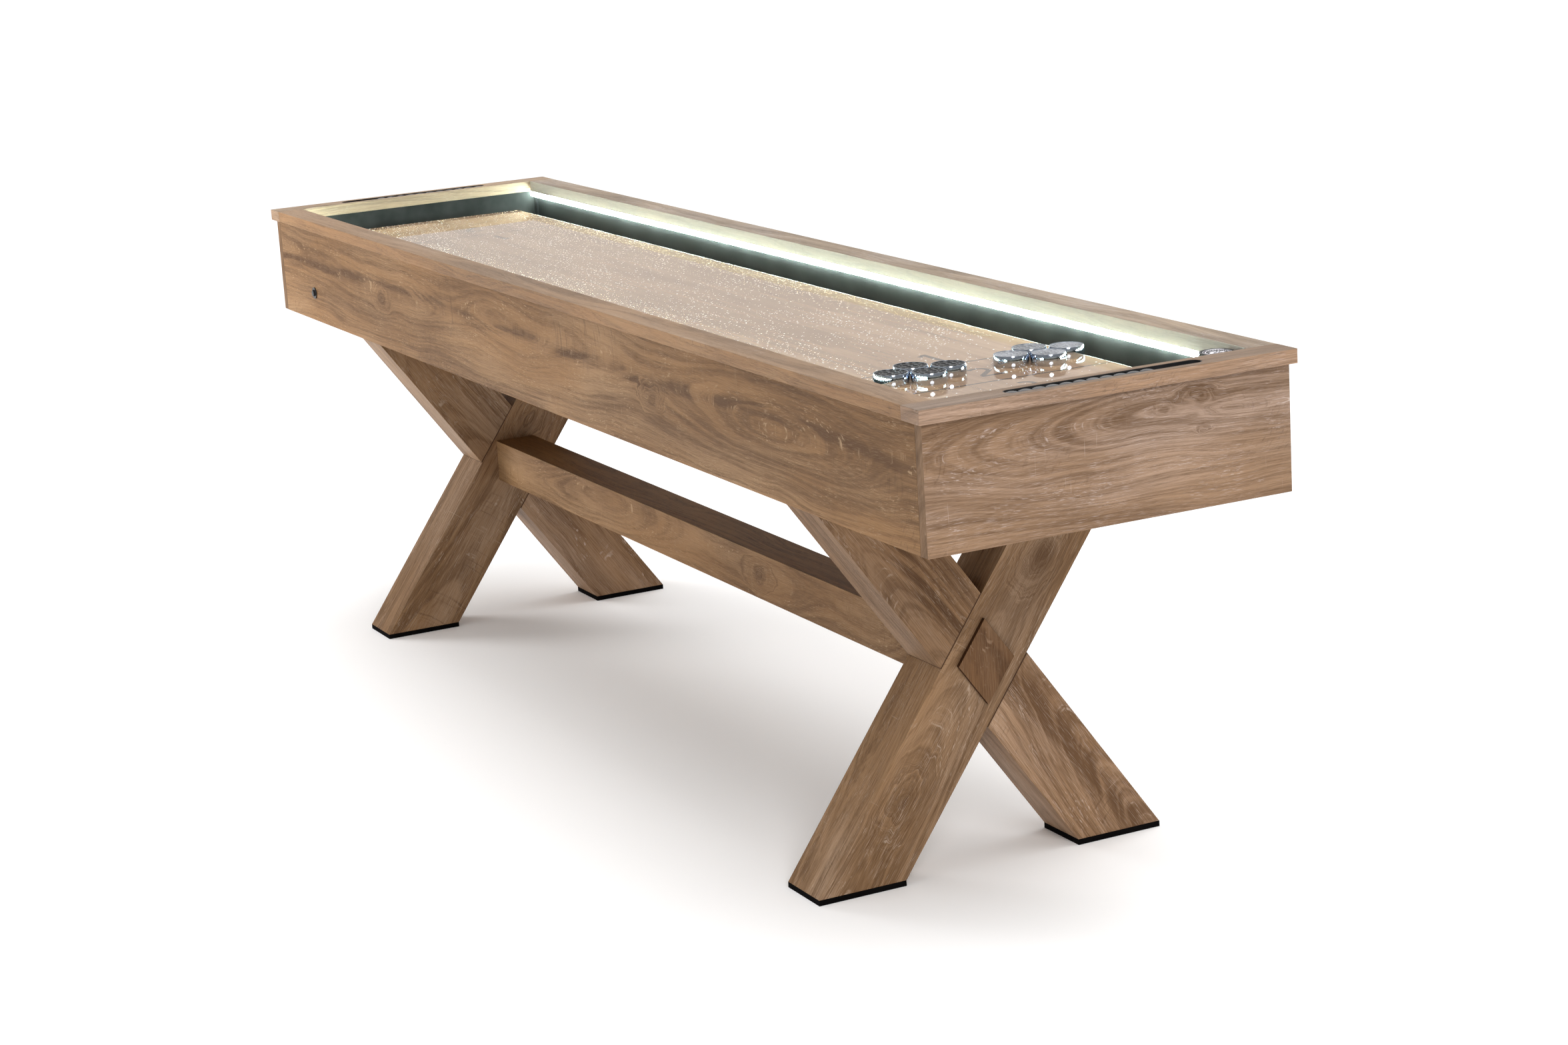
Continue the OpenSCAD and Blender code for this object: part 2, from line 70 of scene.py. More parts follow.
class Net:
    """Adds shader nodes to one tree. Each method returns an output socket, or the node itself."""

    def __init__(self, tree):
        self.tree = tree

    def add(self, kind, inputs=None, **settings):
        node = self.tree.nodes.new("ShaderNode" + kind)
        for name, value in settings.items():
            setattr(node, name, value)
        for name, value in (inputs or {}).items():
            self.feed(node.inputs[name], value)
        return node

    def feed(self, socket, value):
        if isinstance(value, bpy.types.NodeSocket):
            self.tree.links.new(value, socket)
        elif socket.type == "RGBA" and len(value) == 3:
            socket.default_value = (*value, 1)
        else:
            socket.default_value = value

    def math(self, operation, a, b=0.0, clamp=False):
        return self.add("Math", {0: a, 1: b}, operation=operation, use_clamp=clamp).outputs[0]

    def times(self, a, b):
        return self.math("MULTIPLY", a, b)

    def weighted(self, base, *parts):
        """A base value plus each part times its weight."""
        for value, weight in parts:
            base = self.math("ADD", base, self.times(value, weight))
        return base

    def highest(self, first, *others):
        for other in others:
            first = self.math("MAXIMUM", first, other)
        return first

    def vector(self, operation, a, b=(0, 0, 0)):
        node = self.add("VectorMath", {0: a, 1: b}, operation=operation)
        return node.outputs["Value" if operation in ("DOT_PRODUCT", "LENGTH") else "Vector"]

    def combine(self, x, y, z):
        return self.add("CombineXYZ", {"X": x, "Y": y, "Z": z}).outputs[0]

    def split(self, vector):
        node = self.add("SeparateXYZ", {0: vector})
        return [node.outputs[i] for i in range(3)]

    def ramp(self, value, low, high, out_low=0.0, out_high=1.0):
        """Smooth step of value from low to high."""
        inputs = {"Value": value, "From Min": low, "From Max": high, "To Min": out_low, "To Max": out_high}
        return self.add("MapRange", inputs, interpolation_type="SMOOTHSTEP").outputs[0]

    def noise(self, vector, waves, detail=2.0, roughness=0.55):
        """Noise from 0 to 1, with so many waves a metre along each axis."""
        scaled = self.vector("MULTIPLY", vector, waves)
        inputs = {"Vector": scaled, "Scale": 1.0, "Detail": detail, "Roughness": roughness}
        return self.add("TexNoise", inputs).outputs[0]

    def mix(self, share, a, b, blend="MIX"):
        node = self.add("Mix", {0: share}, data_type="RGBA", blend_type=blend)
        self.feed(node.inputs[6], a)
        self.feed(node.inputs[7], b)
        return node.outputs[2]

    def tinted(self, colour, tint):
        return self.mix(1.0, colour, tint, "MULTIPLY")

    def bump(self, height, distance, strength=1.0):
        return self.add("Bump", {"Height": height, "Distance": distance, "Strength": strength}).outputs[0]

    def point(self):
        """The place on the object, in metres of the shared frame."""
        return self.add("TexCoord").outputs["Object"]

    def facing(self, axis, least):
        """1 where the surface looks along an axis, either way, by at least this cosine."""
        normal = self.add("TexCoord").outputs["Normal"]
        cosine = self.math("ABSOLUTE", self.vector("DOT_PRODUCT", normal, axis))
        return self.math("GREATER_THAN", cosine, least)


def new_material(name):
    """A material with one Principled shader, and a Net on its tree."""
    material = bpy.data.materials.new(name)
    material.use_nodes = True
    net = Net(material.node_tree)
    return material, net, material.node_tree.nodes["Principled BSDF"]


def set_inputs(net, shader, **values):
    for name, value in values.items():
        net.feed(shader.inputs[name.replace("_", " ")], value)


# ---------------------------------------------------------------- oak laminate

GRAIN_INPUTS = (  # name, kind and value when not given
    ("Board", "Vector", (0, 0, 0)),         # the place in metres: along the grain, across it and into it
    ("Seed", "Vector", (0, 0, 0)),
    ("Light", "Color", (*OAK_LIGHT, 1)),
    ("Dark", "Color", (*OAK_DARK, 1)),
    ("Heart", "Vector", (0.0, 0.05, 0.1)),  # across, depth, and how fast the depth changes
    ("Knot A", "Vector", (9, 9, 0.01)),     # along, across, radius; off the board when not given
    ("Knot B", "Vector", (9, 9, 0.01)),
    ("Streak", "Vector", (9, 0.01, 0)),     # across, half width, strength
)
GRAIN_OUTPUTS = (("Color", "Color"), ("Height", "Float"), ("Roughness", "Float"))
KNOT_STRETCH = 1.8  # length of a knot along the grain to its width
KNOT_HEART = 0.1  # of a knot's full dark, in its radii, as are the next two
KNOT_CORE = 1.3  # of all its dark
KNOT_REACH = 2.6  # of the rings that bend round it
KNOT_PULL = 1.2
# How far each swing of the grain shifts a pattern, in metres
RING_WANDER, RING_DIVE, RING_RAG = 0.085, 0.10, 0.0022
KNOT_WANDER, KNOT_RAG, KNOT_LUMPS = 0.03, 0.014, 0.020
FIBRE_WANDER, FIBRE_RAG, FIBRE_PUSH = 0.030, 0.0007, 0.1
STREAK_WANDER = 0.06
RAY_SLANT, RAY_RAG = 0.75, 0.002
# What adds to the tone, which gives the light colour at 0 and the dark one at 1
TONE_BASE, PATCH_TONE, BAND_TONE, LINE_TONE, STREAK_TONE, KNOT_TONE = 0.04, 0.31, 0.29, 0.28, 0.42, 0.26
RAY_SHARE, PORE_SHARE, FLECK_SHARE, SAW_SHARE = 0.36, 0.50, 0.56, 0.30  # how far each covers the wood
HAZE_SHARE = 0.55  # of the lime haze, at most
OFF_BAND = 0.35  # of the streak and the pores, between the dark bands
LINE_RISE, PORE_SINK, FLECK_SINK = 0.35, 0.9, 0.5
WOOD_ROUGHNESS, OPEN_ROUGHNESS = 0.50, 0.16  # of closed wood, and what pores and flecks add


class OakGrain:
    """Limed oak, as nodes in a group that work from the place on the board."""

    def __init__(self, tree):
        self.net = net = Net(tree)
        self.given = tree.nodes.new("NodeGroupInput").outputs
        self.board = self.given["Board"]
        self.along, self.across, self.depth = net.split(self.board)
        self.wander = self.swing((0, 0, 0), (1.9, 5.5, 5.5), 2)
        self.dive = self.swing((3.1, 1.7, 8.3), (1.3, 1.5, 1.5), 1)
        self.ragged = self.swing((6.7, 2.9, 1.1), (26, 75, 75), 2)
        self.lumpy = self.swing((8.8, 6.3, 7.2), (18, 34, 34), 1)
        self.ring, self.knot = self.growth_rings()
        self.rings = net.combine(self.along, self.ring, self.depth)
        self.fibres = self.straight_fibres()
        self.bands = self.pattern(self.rings, (0, 0, 0), (2.6, 230, 50), (0.34, 0.68), 3, 0.66)
        self.lines = self.pattern(self.fibres, (2.2, 5.1, 0.4), (15, 1300, 1300), (0.32, 0.68), 3, 0.6)

    def noise(self, place, offset, waves, detail, roughness=0.55):
        """Noise over a place, with waves a metre along, across and into the board. Its offset keeps one
        pattern from following another."""
        place = self.net.vector("ADD", self.net.vector("ADD", place, self.given["Seed"]), offset)
        return self.net.noise(place, waves, detail, roughness)

    def swing(self, offset, waves, detail):
        """Noise over the board, from -0.5 to 0.5."""
        return self.net.math("SUBTRACT", self.noise(self.board, offset, waves, detail), 0.5)

    def pattern(self, place, offset, waves, fade, detail=2, roughness=0.55, out=(0.0, 1.0)):
        """Noise over a place that fades in between two of its values."""
        return self.net.ramp(self.noise(place, offset, waves, detail, roughness), *fade, *out)

    def growth_rings(self):
        """The distance to a heart line that wanders below the face, bent round the knots, and the knots."""
        net = self.net
        heart_across, heart_depth, slope = net.split(self.given["Heart"])
        side = net.weighted(net.math("SUBTRACT", self.across, heart_across), (self.wander, RING_WANDER))
        below = net.math("ADD", self.depth, heart_depth)
        below = net.weighted(below, (self.along, slope), (self.dive, RING_DIVE))
        ring = net.vector("LENGTH", net.combine(side, below, 0.0))
        cores = []
        for name in ("Knot A", "Knot B"):
            distance, reach = self.from_knot(name)
            pull = net.ramp(reach, KNOT_HEART, KNOT_REACH, 1.0, 0.0)
            far_ring = net.times(ring, net.math("SUBTRACT", 1.0, pull))
            ring = net.weighted(far_ring, (net.times(distance, KNOT_PULL), pull))
            cores.append(net.ramp(reach, KNOT_HEART, KNOT_CORE, 1.0, 0.0))
        return net.weighted(ring, (self.ragged, RING_RAG)), net.highest(*cores)

    def from_knot(self, name):
        """The uneven distance to a knot, in metres and in its radii."""
        net = self.net
        knot_along, knot_across, radius = net.split(self.given[name])
        from_along = net.math("DIVIDE", net.math("SUBTRACT", self.along, knot_along), KNOT_STRETCH)
        from_across = net.math("SUBTRACT", self.across, knot_across)
        from_across = net.weighted(from_across, (self.wander, -KNOT_WANDER))
        distance = net.vector("LENGTH", net.combine(from_along, from_across, 0.0))
        distance = net.weighted(distance, (self.ragged, KNOT_RAG), (self.lumpy, KNOT_LUMPS))
        return distance, net.math("DIVIDE", distance, radius)

    def straight_fibres(self):
        """Fibres run along the grain with a slight sway, and bend only round the knots."""
        net = self.net
        push = net.times(self.ring, FIBRE_PUSH)
        across = net.weighted(self.across, (self.wander, FIBRE_WANDER), (self.ragged, FIBRE_RAG),
                              (self.knot, push))
        return net.combine(self.along, across, self.depth)

    def streak(self):
        """A dark streak along the board."""
        net = self.net
        streak_across, half_width, strength = net.split(self.given["Streak"])
        off = net.math("SUBTRACT", self.across, net.weighted(streak_across, (self.wander, STREAK_WANDER)))
        within = net.ramp(net.math("DIVIDE", net.math("ABSOLUTE", off), half_width), 0.1, 1.4, 1.0, 0.0)
        return net.times(net.times(within, strength), net.math("ADD", OFF_BAND, self.bands))

    def wood(self):
        """The bare wood: broad patches, growth bands, fine lines, the streak and the knots, with a haze."""
        net, light = self.net, self.given["Light"]
        patches = self.pattern(self.board, (4.4, 0.2, 6.6), (1.9, 8, 8), (0.32, 0.68), 3, 0.6)
        tone = net.weighted(TONE_BASE, (patches, PATCH_TONE), (self.bands, BAND_TONE),
                            (self.lines, LINE_TONE), (self.streak(), STREAK_TONE), (self.knot, KNOT_TONE))
        haze = self.pattern(self.board, (7.7, 3.8, 0.9), (2.4, 9, 9), (0.40, 0.72), out=(0.0, HAZE_SHARE))
        pale = net.mix(haze, light, net.mix(0.5, light, LIME_WHITE))
        return net.mix(net.ramp(tone, 0.0, 1.0), pale, self.given["Dark"])

    def rays(self):
        """Slanting dark rays, here and there."""
        net = self.net
        slanting = net.weighted(self.along, (self.ring, RAY_SLANT), (self.ragged, RAY_RAG))
        place = net.combine(slanting, self.ring, self.depth)
        rays = self.pattern(place, (0, 0, 0), (210, 75, 75), (0.54, 0.70), 3, 0.65)
        return net.times(rays, self.pattern(self.board, (9.3, 4.1, 5.5), (3.5, 11, 11), (0.50, 0.66), 1))

    def pores(self):
        """Dark pores, mostly in the dark bands."""
        pores = self.pattern(self.fibres, (8.9, 3.3, 0.1), (38, 1400, 1400), (0.54, 0.72))
        return self.net.times(pores, self.net.weighted(OFF_BAND, (self.bands, 1 - OFF_BAND)))

    def flecks(self):
        """Lime in the open pores: straight flecks, and curls that follow the rings."""
        net = self.net
        flecks = self.pattern(self.fibres, (5.3, 0.7, 2.9), (42, 1400, 1400), (0.55, 0.72))
        limed = self.pattern(self.board, (1.9, 6.1, 4.7), (6.5, 26, 26), (0.38, 0.64), 3, 0.65, (0.16, 1.0))
        curls = self.pattern(self.rings, (1.3, 4.7, 6.9), (80, 950, 950), (0.57, 0.72))
        curls = net.math("SUBTRACT", curls, self.knot, clamp=True)
        curled = self.pattern(self.board, (6.2, 5.9, 2.4), (9, 24, 24), (0.48, 0.62), 2, 0.6)
        return net.highest(net.times(flecks, limed), net.times(curls, curled))

    def saw_marks(self):
        """Pale saw marks across the grain, here and there."""
        marks = self.pattern(self.board, (2.3, 9.1, 3.3), (480, 16, 16), (0.70, 0.80), 1)
        return self.net.times(marks, self.pattern(self.board, (0.7, 8.2, 9.9), (12, 8, 8), (0.50, 0.62), 1))

    def surface(self):
        """The value of each of the group's outputs."""
        net, colour = self.net, self.wood()
        pores, flecks = self.pores(), self.flecks()
        covers = (
            (self.rays(), RAY_SHARE, PORE_BROWN),
            (pores, PORE_SHARE, PORE_BROWN),
            (flecks, FLECK_SHARE, LIME_WHITE),
            (self.saw_marks(), SAW_SHARE, LIME_WHITE),
        )
        for cover, share, paint in covers:
            colour = net.mix(net.times(cover, share), colour, paint)
        height = net.weighted(0.0, (self.lines, LINE_RISE), (pores, -PORE_SINK), (flecks, -FLECK_SINK))
        roughness = net.weighted(WOOD_ROUGHNESS, (flecks, OPEN_ROUGHNESS), (pores, OPEN_ROUGHNESS))
        return {"Color": colour, "Height": height, "Roughness": roughness}


def oak_group():
    """The grain of limed oak, as a group that every board's material uses."""
    tree = bpy.data.node_groups.new("oak_grain", "ShaderNodeTree")
    for name, kind, value in GRAIN_INPUTS:
        socket = tree.interface.new_socket(name=name, in_out="INPUT", socket_type="NodeSocket" + kind)
        socket.default_value = value
    for name, kind in GRAIN_OUTPUTS:
        tree.interface.new_socket(name=name, in_out="OUTPUT", socket_type="NodeSocket" + kind)
    grain = OakGrain(tree)
    result = tree.nodes.new("NodeGroupOutput")
    for name, value in grain.surface().items():
        grain.net.feed(result.inputs[name], value)
    return tree


OAK = oak_group()
SEED_STEP = (3.7, 1.3, 2.1)  # metres between the boards' places in the noise
BUMP_DEPTH = 0.0002
END_GRAIN = 0.75  # least cosine to the grain of a face that shows end grain
FLAT_FACE = 0.5  # least cosine to the board's depth of a face that isn't its rim
SEAM = 0.0026  # width of the painted shade line where a half leg butts the whole one, for the shadow in the joint
TOP_FADE = (0.0008, 0.0002)  # depths below the top between which its painted light comes in
LIP_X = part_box("cap_near")[0].x + 0.0005  # the inner edges of the caps, over the light strips
LIP_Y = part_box("cap_back")[0].y + 0.0005
BOARD_GLOSS, CAP_GLOSS = 0.13, 0.45


def oak(node, along, across, seed, tint, light=OAK_LIGHT, dark=OAK_DARK, gloss=BOARD_GLOSS,
        rim_tint=None, seam=False, top_tint=None, lip=0.0, **features):
    """A limed oak laminate for one board, whose grain runs along one direction. Lip glow is how far its
    inner edge is painted pale, as painted light of the strips, and the features are inputs of the grain."""
    material, net, shader = new_material("oak_" + node)
    place = net.vector("SUBTRACT", net.point(), middle(node))
    into = along.cross(across)
    on_face = [net.vector("DOT_PRODUCT", place, axis) for axis in (along, across, into)]
    on_end = net.combine(on_face[1], on_face[2], on_face[0])
    grain = net.add("Group", node_tree=OAK)
    grain.inputs["Seed"].default_value = [seed * step for step in SEED_STEP]
    net.feed(grain.inputs["Board"], net.mix(net.facing(along, END_GRAIN), net.combine(*on_face), on_end))
    net.feed(grain.inputs["Light"], light)
    net.feed(grain.inputs["Dark"], dark)
    for feature, value in features.items():
        grain.inputs[feature.replace("_", " ").title()].default_value = value

    colour = net.tinted(grain.outputs["Color"], tint)
    if rim_tint:
        colour = net.mix(net.facing(into, FLAT_FACE), net.tinted(colour, rim_tint), colour)
    # Painted shade: a dark line along the butt joint, for the shadow in its gap.
    if seam:
        colour = net.mix(in_seam(net), colour, PORE_BROWN)
    # Painted light on the top face: shade on the stretcher's top, sheen on the caps' tops.
    if top_tint:
        colour = net.mix(on_top(net, node), colour, net.tinted(colour, top_tint))
    # Painted light: the inner edges of the caps are made pale for the light that the strips cast on them.
    if lip:
        colour = net.mix(on_lip(net), colour, net.mix(lip, colour, LIP_PAINTED_LIGHT))

    relief = net.bump(grain.outputs["Height"], BUMP_DEPTH, 0.6)
    set_inputs(net, shader, Base_Color=colour, Roughness=grain.outputs["Roughness"], Normal=relief)
    set_inputs(net, shader, Specular_IOR_Level=gloss)
    return material


def in_seam(net):
    """1 on a half leg where it butts the whole one, which leans back: where the joint's shadow is painted.
    """
    from_crossing = net.vector("SUBTRACT", net.point(), (0, 0, middle("diamond_plates").z))
    off = net.vector("DOT_PRODUCT", from_crossing, X.cross(LEG_UP_BACK))
    return net.ramp(net.math("ABSOLUTE", off), LEG_HALF_WIDTH + SEAM, LEG_HALF_WIDTH + SEAM / 2)


def on_top(net, node):
    """1 on the top face of a node."""
    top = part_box(node)[1].z
    return net.ramp(net.split(net.point())[2], top - TOP_FADE[0], top - TOP_FADE[1])


def on_lip(net):
    """1 on the inner edges of the caps, where the light of the strips is painted."""
    x, y, _ = net.split(net.point())
    return net.times(net.math("LESS_THAN", net.math("ABSOLUTE", x), LIP_X),
                     net.math("LESS_THAN", net.math("ABSOLUTE", y), LIP_Y))


# ---------------------------------------------------------------- playfield

WAX_GRAINS = (  # cells a metre, radius of a grain, shift of the cells
    (72, 0.0020, 0.0),
    (120, 0.0012, 3.3),
)
WAX_HEIGHT = 0.0006
WAX_X = 0.9  # distance from the middle beyond which the share of cells with a grain stays the same
WAX_NEAR, WAX_FAR = 0.12, 0.38
COAT_ROUGHNESS, COAT_IOR = 0.02, 1.6
FIELD_EDGE = 0.003  # width of the rounding on the board's edges
LINE_FROM_END = (0.281, 0.126)  # scoring lines, from each end of the board
LINE_HALF = 0.002
DIGIT_HEIGHT, DIGIT_WIDTH, DIGIT_STROKE = 0.064, 0.038, 0.0085
DIGIT_FEET = (0.313, 0.163, 0.030)  # of 1, 2 and 3, from each end of the board
DIGIT_INK = 0.75  # how far a digit covers the wood
FLAG_REACH, FLAG_HIGH, FLAG_LOW = 0.013, 0.005, 0.015  # of the 1: its length, and its ends below the top
MARK_BLUR = 0.0003


def playfield_material():
    """Printed oak under a thick clear coat, with scoring lines and digits, and wax grains on it."""
    material, net, shader = new_material("lacquered_playfield")
    point = net.point()
    figure = net.ramp(net.noise(point, (1.6, 11, 1), 3, 0.6), 0.34, 0.68)
    bands = net.ramp(net.noise(point, (1.2, 55, 1), 3, 0.6), 0.36, 0.66)
    lines = net.ramp(net.noise(point, (9, 520, 1), 2, 0.6), 0.34, 0.66)
    tone = net.weighted(0.0, (figure, 0.45), (bands, 0.35), (lines, 0.20))
    colour = net.mix(tone, FIELD_LIGHT, FIELD_DARK)
    colour = net.mix(score_marks(net, point), colour, FIELD_INK)
    density = wax_density(net, point)
    wax = net.highest(*(wax_grains(net, point, density, *grains) for grains in WAX_GRAINS))
    colour = net.mix(wax, colour, WAX_WHITE)
    bare = net.math("SUBTRACT", 1.0, wax)
    relief = net.bump(wax, WAX_HEIGHT, 0.8)
    set_inputs(net, shader, Base_Color=colour, Roughness=0.5, Normal=relief, Specular_IOR_Level=0.0)
    set_inputs(net, shader, Coat_Weight=bare, Coat_Roughness=COAT_ROUGHNESS, Coat_IOR=COAT_IOR)
    return material


def wax_density(net, point):
    """The share of cells with a grain of wax: more towards the far end, and uneven."""
    even = net.ramp(net.split(point)[0], WAX_X, -WAX_X, WAX_NEAR, WAX_FAR)
    return net.math("ADD", even, net.ramp(net.noise(point, (5, 9, 1)), 0.42, 0.66, -0.06, 0.30))


def wax_grains(net, point, density, cells, radius, shift):
    """Round grains of wax, at most one to a cell: 1 on a grain and 0 off it."""
    flat = net.vector("MULTIPLY", net.vector("ADD", point, (shift, shift, 0)), (cells, cells, 0))
    cell = net.add("TexVoronoi", {"Vector": flat, "Scale": 1.0}, voronoi_dimensions="2D")
    present = net.math("LESS_THAN", net.split(cell.outputs["Color"])[0], density)
    profile = net.ramp(cell.outputs["Distance"], radius * cells, radius * cells * 0.4)
    return net.times(profile, present)


def score_marks(net, point):
    """The scoring lines, and the digits read from each end: 1 on a mark and 0 off it."""
    half_board = (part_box("playfield")[1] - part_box("playfield")[0]).x / 2
    along, across, _ = net.split(point)
    from_end = net.math("SUBTRACT", half_board, net.math("ABSOLUTE", along))
    sideways = net.times(across, net.math("SIGN", along))
    marks = []
    for line in LINE_FROM_END:
        off = net.math("ABSOLUTE", net.math("SUBTRACT", from_end, line))
        marks.append(inside(net, net.math("SUBTRACT", off, LINE_HALF)))
    # Each digit stands with its foot towards its end of the board
    for shape, foot in zip((digit_one, digit_two, digit_three), DIGIT_FEET):
        rise = net.math("SUBTRACT", from_end, foot)
        marks.append(net.times(shape(net, sideways, rise), DIGIT_INK))
    return net.highest(*marks)


def inside(net, distance):
    """1 where a distance to an outline is below zero."""
    return net.ramp(distance, MARK_BLUR, -MARK_BLUR)


def bar(net, x, y, x0, y0, x1, y1):
    """A straight stroke between two points, with square ends."""
    length = math.hypot(x1 - x0, y1 - y0)
    dx, dy = (x1 - x0) / length, (y1 - y0) / length
    from_x = net.math("SUBTRACT", x, (x0 + x1) / 2)
    from_y = net.math("SUBTRACT", y, (y0 + y1) / 2)
    on = net.weighted(0.0, (from_x, dx), (from_y, dy))
    off = net.weighted(0.0, (from_x, -dy), (from_y, dx))
    on = net.math("SUBTRACT", net.math("ABSOLUTE", on), length / 2)
    off = net.math("SUBTRACT", net.math("ABSOLUTE", off), DIGIT_STROKE / 2)
    return inside(net, net.highest(on, off))


def arc(net, x, y, cx, cy, radius, keep):
    """A round stroke about a centre, kept where keep(x, y from the centre) is above zero."""
    from_x, from_y = net.math("SUBTRACT", x, cx), net.math("SUBTRACT", y, cy)
    out = net.vector("LENGTH", net.combine(from_x, from_y, 0.0))
    off = net.math("SUBTRACT", net.math("ABSOLUTE", net.math("SUBTRACT", out, radius)), DIGIT_STROKE / 2)
    kept = net.math("GREATER_THAN", keep(from_x, from_y), 0.0)
    return net.times(inside(net, off), kept)


def digit_one(net, x, y):
    stem = bar(net, x, y, 0.0, 0.0, 0.0, DIGIT_HEIGHT)
    flag = bar(net, x, y, 0.0, DIGIT_HEIGHT - FLAG_HIGH, -FLAG_REACH, DIGIT_HEIGHT - FLAG_LOW)
    return net.highest(stem, flag)


def digit_two(net, x, y):
    radius = (DIGIT_WIDTH - DIGIT_STROKE) / 2
    centre = DIGIT_HEIGHT - radius - DIGIT_STROKE / 2
    lean = math.radians(35)
    end_x, end_y = radius * math.cos(lean), centre - radius * math.sin(lean)

    def above(dx, dy):
        return net.weighted(0.0, (dx, math.sin(lean)), (dy, math.cos(lean)))

    bowl = arc(net, x, y, 0.0, centre, radius, above)
    slope = bar(net, x, y, end_x, end_y, -radius, DIGIT_STROKE)
    foot = bar(net, x, y, -DIGIT_WIDTH / 2, DIGIT_STROKE / 2, DIGIT_WIDTH / 2, DIGIT_STROKE / 2)
    return net.highest(bowl, slope, foot)


def digit_three(net, x, y):
    radius = (DIGIT_HEIGHT - DIGIT_STROKE) / 4

    def right_side(dx, dy):
        return net.math("ADD", dx, radius * 0.35)

    low = arc(net, x, y, 0.0, radius + DIGIT_STROKE / 2, radius, right_side)
    high = arc(net, x, y, 0.0, radius * 3 + DIGIT_STROKE / 2, radius, right_side)
    return net.highest(low, high)


# ---------------------------------------------------------------- other materials

METAL_GRAIN = 0.00002  # depth of metal's finishing lines
CLOUD_WAVES = (22, 22, 22)  # of wear on a moulded, coated or board surface
SHINE_SWING = 0.06  # of its roughness


def speckled(name, colour, roughness, grain=900.0, bump=0.00004, variation=0.25, **extra):
    """A moulded, coated or board surface of one colour, with fine grain and slight wear."""
    material, net, shader = new_material(name)
    point = net.point()
    fine = net.noise(point, (grain, grain, grain))
    broad = net.noise(point, CLOUD_WAVES)
    darker = tuple(c * (1 - variation) for c in colour)
    paler = tuple(c * (1 + variation) + 0.002 for c in colour)
    tint = net.mix(net.ramp(broad, 0.3, 0.7), darker, paler)
    shine = net.ramp(broad, 0.3, 0.7, roughness - SHINE_SWING, roughness + SHINE_SWING)
    set_inputs(net, shader, Base_Color=tint, Roughness=shine, Normal=net.bump(fine, bump, 0.5), **extra)
    return material


def metal(name, colour, roughness, scratches=(40.0, 1500.0, 1500.0)):
    """Metal with fine lines from its finishing."""
    material, net, shader = new_material(name)
    point = net.point()
    fine = net.noise(point, scratches)
    cloud = net.noise(point, (60, 60, 60))
    shine = net.ramp(cloud, 0.3, 0.7, roughness * 0.8, roughness * 1.3)
    tint = net.mix(net.ramp(fine, 0.3, 0.7), tuple(c * 0.9 for c in colour), colour)
    relief = net.bump(fine, METAL_GRAIN, 0.3)
    set_inputs(net, shader, Base_Color=tint, Metallic=1.0, Roughness=shine, Normal=relief)
    return material


def light_cover(name, strength):
    """The milky cover of a light strip, lit from behind."""
    material, net, shader = new_material(name)
    frost = net.noise(net.point(), (300, 300, 300))
    tint = net.mix(frost, (0.93, 0.97, 0.95), (1.0, 1.0, 1.0))
    set_inputs(net, shader, Base_Color=tint, Roughness=0.4)
    set_inputs(net, shader, Emission_Color=STRIP, Emission_Strength=strength)
    return material


# ---------------------------------------------------------------- dress the nodes

WELD_GAP = 0.00001
SAME_FLAT = math.radians(0.5)  # most between two faces that count as one flat
EDGE_OVER = math.radians(35)  # least between two faces whose edge is rounded
EASED = 0.0008  # width of the rounding on the boards' edges


def dress(node, material, edge=0.0, segments=2):
    """Gives a CAD node its material, and rounds its edges when edge is a width in metres."""
    piece = nodes[node]
    piece.data.materials.clear()
    piece.data.materials.append(material)
    if edge:
        weld = piece.modifiers.new("weld", "WELD")
        weld.merge_threshold = WELD_GAP
        merge = piece.modifiers.new("merged_flats", "DECIMATE")
        merge.decimate_type = "DISSOLVE"
        merge.angle_limit = SAME_FLAT
        bevel = piece.modifiers.new("eased_edges", "BEVEL")
        bevel.width = edge
        bevel.segments = segments
        bevel.limit_method = "ANGLE"
        bevel.angle_limit = EDGE_OVER
        flat = piece.modifiers.new("flat_faces", "WEIGHTED_NORMAL")
        flat.weight = 100


def board(node, along, across, seed, tint, **features):
    """Dresses a board, whose grain runs along one direction and whose face is across another."""
    dress(node, oak(node, along, across, seed, tint, **features), EASED)


def leg(node, up, seed, tint, **features):
    """Dresses a board of a leg, which leans forward or back."""
    board(node, up, X.cross(up), seed, tint, **features)


def cap(node, along, across, seed, tint, **features):
    """Dresses a board of the cap, whose oak is paler and glossier. Its tint is that of its edges."""
    board(node, along, across, seed, tint, light=CAP_LIGHT, dark=CAP_DARK, gloss=CAP_GLOSS,
          heart=(0.03, 0.05, 0.03), **features)


# Tints, by which the oak's colour is multiplied
SIDE = (0.95, 0.86, 0.70)
# Painted sheen: END pales and cools the end panels' oak for the whitish veil of reflected light on them.
END, END_RIM = (0.95, 1.01, 1.22), (0.72, 0.62, 0.46)
LEG = (0.97, 0.97, 0.99)
# Painted light and shade: the first pales and cools the lower legs, which stand in full light; the second
# darkens the near upper leg, in the shade of the table above.
LEG_PAINTED_LIGHT = (1.1, 1.11, 1.20)
LEG_PAINTED_SHADE = (0.86, 0.83, 0.82)
# Painted shade: the stretcher's top is darkened for the shade of the table above it.
STRETCHER_TOP_SHADE = (0.64, 0.62, 0.56)
# Painted shade: PLATE darkens the diamond plates for the shade of the table above the crossing.
PLATE, PLATE_RIM = (0.60, 0.51, 0.43), (0.3, 0.24, 0.2)
SIDE_STREAK = (0.028, 0.011, 0.9)

